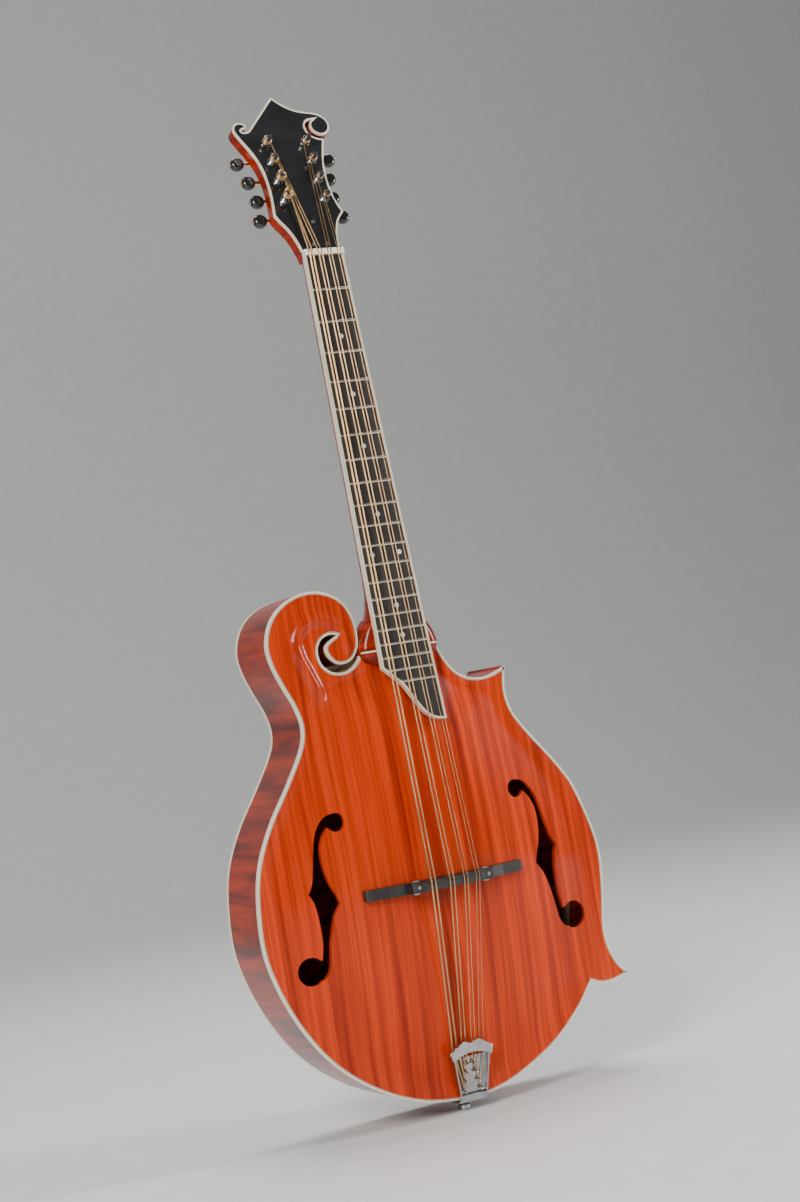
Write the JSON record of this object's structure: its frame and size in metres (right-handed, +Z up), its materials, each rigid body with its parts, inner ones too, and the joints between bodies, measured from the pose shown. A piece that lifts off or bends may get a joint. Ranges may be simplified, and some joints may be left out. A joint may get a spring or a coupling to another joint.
{
  "type": "mandocello",
  "caption": "Large carved mandolin-family instrument with a scroll, two body points, paired strings, an arched top with f-holes and a bound fingerboard.",
  "frame": {"origin": "centre of the outer end face of the strap button at the bottom of the body", "axes": "+X to the right seen from the front (treble side), +Y towards the back, +Z up along the body's centre line to the head"},
  "size_m": [0.3823, 0.142, 1.0281],
  "materials": {
    "spruce_top": "gloss lacquer, red-brown stain",
    "maple_body": "gloss lacquer, flamed, dark red stain",
    "pale_wood": "bare",
    "ivory_binding": "polished",
    "bone": "satin",
    "ebony": "satin",
    "black_gloss": "polished",
    "nickel": "polished",
    "steel": "satin",
    "gilt": "satin",
    "bronze": "wound"
  },
  "bodies": {
    "instrument": {"top_plate": "spruce_top", "back_plate": "maple_body", "rib_bass": "maple_body", "rib_treble_upper": "maple_body", "rib_treble_waist": "maple_body", "rib_treble_lower": "maple_body", "head_block": "pale_wood", "tail_block": "pale_wood", "point_blocks": "pale_wood", "linings": "pale_wood", "tone_bars": "pale_wood", "top_binding": "ivory_binding", "back_binding": "ivory_binding", "neck": "maple_body", "head_overlay": "black_gloss", "head_binding": "ivory_binding", "truss_rod": "steel", "truss_cover": "black_gloss", "fingerboard": "ebony", "fingerboard_binding": "ivory_binding", "frets": "nickel", "position_dots": "ivory_binding", "nut": "bone", "bridge_base": "ebony", "bridge_studs": "nickel", "tailpiece_frame": "nickel", "tailpiece_bar": "nickel", "end_button": "nickel", "wood_screws": "steel", "tuner_plates": "gilt", "bushings": "nickel", "strings": "bronze"},
    "saddle": {"bridge_saddle": "ebony"},
    "wheel_bass": {"wheel_bass": "nickel"},
    "wheel_treble": {"wheel_treble": "nickel"},
    "shaft_1": {"tuner_shaft_1": "gilt", "tuner_button_1": "black_gloss"},
    "post_1": {"tuner_post_1": "nickel"},
    "shaft_2": {"tuner_shaft_2": "gilt", "tuner_button_2": "black_gloss"},
    "post_2": {"tuner_post_2": "nickel"},
    "shaft_3": {"tuner_shaft_3": "gilt", "tuner_button_3": "black_gloss"},
    "post_3": {"tuner_post_3": "nickel"},
    "shaft_4": {"tuner_shaft_4": "gilt", "tuner_button_4": "black_gloss"},
    "post_4": {"tuner_post_4": "nickel"},
    "shaft_5": {"tuner_shaft_5": "gilt", "tuner_button_5": "black_gloss"},
    "post_5": {"tuner_post_5": "nickel"},
    "shaft_6": {"tuner_shaft_6": "gilt", "tuner_button_6": "black_gloss"},
    "post_6": {"tuner_post_6": "nickel"},
    "shaft_7": {"tuner_shaft_7": "gilt", "tuner_button_7": "black_gloss"},
    "post_7": {"tuner_post_7": "nickel"},
    "shaft_8": {"tuner_shaft_8": "gilt", "tuner_button_8": "black_gloss"},
    "post_8": {"tuner_post_8": "nickel"}
  },
  "joints": [
    {"name": "saddle_lift", "type": "slide", "parent": "instrument", "child": "saddle", "axis": [0, -1, 0], "range_m": [-0.001, 0.001], "deforming": ["strings"]},
    {"name": "wheel_bass_turn", "type": "hinge", "parent": "saddle", "child": "wheel_bass", "pos_m": [-0.0374, -0.0517, 0.223], "axis": [0, -1, 0], "range_deg": [-450, 450]},
    {"name": "wheel_treble_turn", "type": "hinge", "parent": "saddle", "child": "wheel_treble", "pos_m": [0.0374, -0.0517, 0.223], "axis": [0, -1, 0], "range_deg": [-450, 450]},
    {"name": "shaft_1_turn", "type": "hinge", "parent": "instrument", "child": "shaft_1", "pos_m": [-0.0217, 0.03655, 0.89361], "axis": [1, 0, 0], "continuous": true},
    {"name": "post_1_turn", "type": "hinge", "parent": "instrument", "child": "post_1", "pos_m": [-0.0217, 0.02143, 0.90992], "axis": [0, -0.9455, 0.3256], "continuous": true},
    {"name": "shaft_2_turn", "type": "hinge", "parent": "instrument", "child": "shaft_2", "pos_m": [-0.0217, 0.04403, 0.91536], "axis": [1, 0, 0], "continuous": true},
    {"name": "post_2_turn", "type": "hinge", "parent": "instrument", "child": "post_2", "pos_m": [-0.0217, 0.02892, 0.93166], "axis": [0, -0.9455, 0.3256], "continuous": true},
    {"name": "shaft_3_turn", "type": "hinge", "parent": "instrument", "child": "shaft_3", "pos_m": [-0.0217, 0.05152, 0.9371], "axis": [1, 0, 0], "continuous": true},
    {"name": "post_3_turn", "type": "hinge", "parent": "instrument", "child": "post_3", "pos_m": [-0.0217, 0.03641, 0.95341], "axis": [0, -0.9455, 0.3256], "continuous": true},
    {"name": "shaft_4_turn", "type": "hinge", "parent": "instrument", "child": "shaft_4", "pos_m": [-0.0217, 0.05901, 0.95885], "axis": [1, 0, 0], "continuous": true},
    {"name": "post_4_turn", "type": "hinge", "parent": "instrument", "child": "post_4", "pos_m": [-0.0217, 0.0439, 0.97516], "axis": [0, -0.9455, 0.3256], "continuous": true},
    {"name": "shaft_5_turn", "type": "hinge", "parent": "instrument", "child": "shaft_5", "pos_m": [0.0217, 0.03655, 0.89361], "axis": [1, 0, 0], "continuous": true},
    {"name": "post_5_turn", "type": "hinge", "parent": "instrument", "child": "post_5", "pos_m": [0.0217, 0.02143, 0.90992], "axis": [0, -0.9455, 0.3256], "continuous": true},
    {"name": "shaft_6_turn", "type": "hinge", "parent": "instrument", "child": "shaft_6", "pos_m": [0.0217, 0.04403, 0.91536], "axis": [1, 0, 0], "continuous": true},
    {"name": "post_6_turn", "type": "hinge", "parent": "instrument", "child": "post_6", "pos_m": [0.0217, 0.02892, 0.93166], "axis": [0, -0.9455, 0.3256], "continuous": true},
    {"name": "shaft_7_turn", "type": "hinge", "parent": "instrument", "child": "shaft_7", "pos_m": [0.0217, 0.05152, 0.9371], "axis": [1, 0, 0], "continuous": true},
    {"name": "post_7_turn", "type": "hinge", "parent": "instrument", "child": "post_7", "pos_m": [0.0217, 0.03641, 0.95341], "axis": [0, -0.9455, 0.3256], "continuous": true},
    {"name": "shaft_8_turn", "type": "hinge", "parent": "instrument", "child": "shaft_8", "pos_m": [0.0217, 0.05901, 0.95885], "axis": [1, 0, 0], "continuous": true},
    {"name": "post_8_turn", "type": "hinge", "parent": "instrument", "child": "post_8", "pos_m": [0.0217, 0.0439, 0.97516], "axis": [0, -0.9455, 0.3256], "continuous": true}
  ],
  "couplings": [
    {"joint": "saddle_lift", "follows": "wheel_bass_turn", "m_per_rad": 0.00012732},
    {"joint": "wheel_treble_turn", "follows": "wheel_bass_turn", "ratio": 1},
    {"joint": "post_1_turn", "follows": "shaft_1_turn", "ratio": -0.066667},
    {"joint": "post_2_turn", "follows": "shaft_2_turn", "ratio": -0.066667},
    {"joint": "post_3_turn", "follows": "shaft_3_turn", "ratio": -0.066667},
    {"joint": "post_4_turn", "follows": "shaft_4_turn", "ratio": -0.066667},
    {"joint": "post_5_turn", "follows": "shaft_5_turn", "ratio": -0.066667},
    {"joint": "post_6_turn", "follows": "shaft_6_turn", "ratio": -0.066667},
    {"joint": "post_7_turn", "follows": "shaft_7_turn", "ratio": -0.066667},
    {"joint": "post_8_turn", "follows": "shaft_8_turn", "ratio": -0.066667}
  ]
}
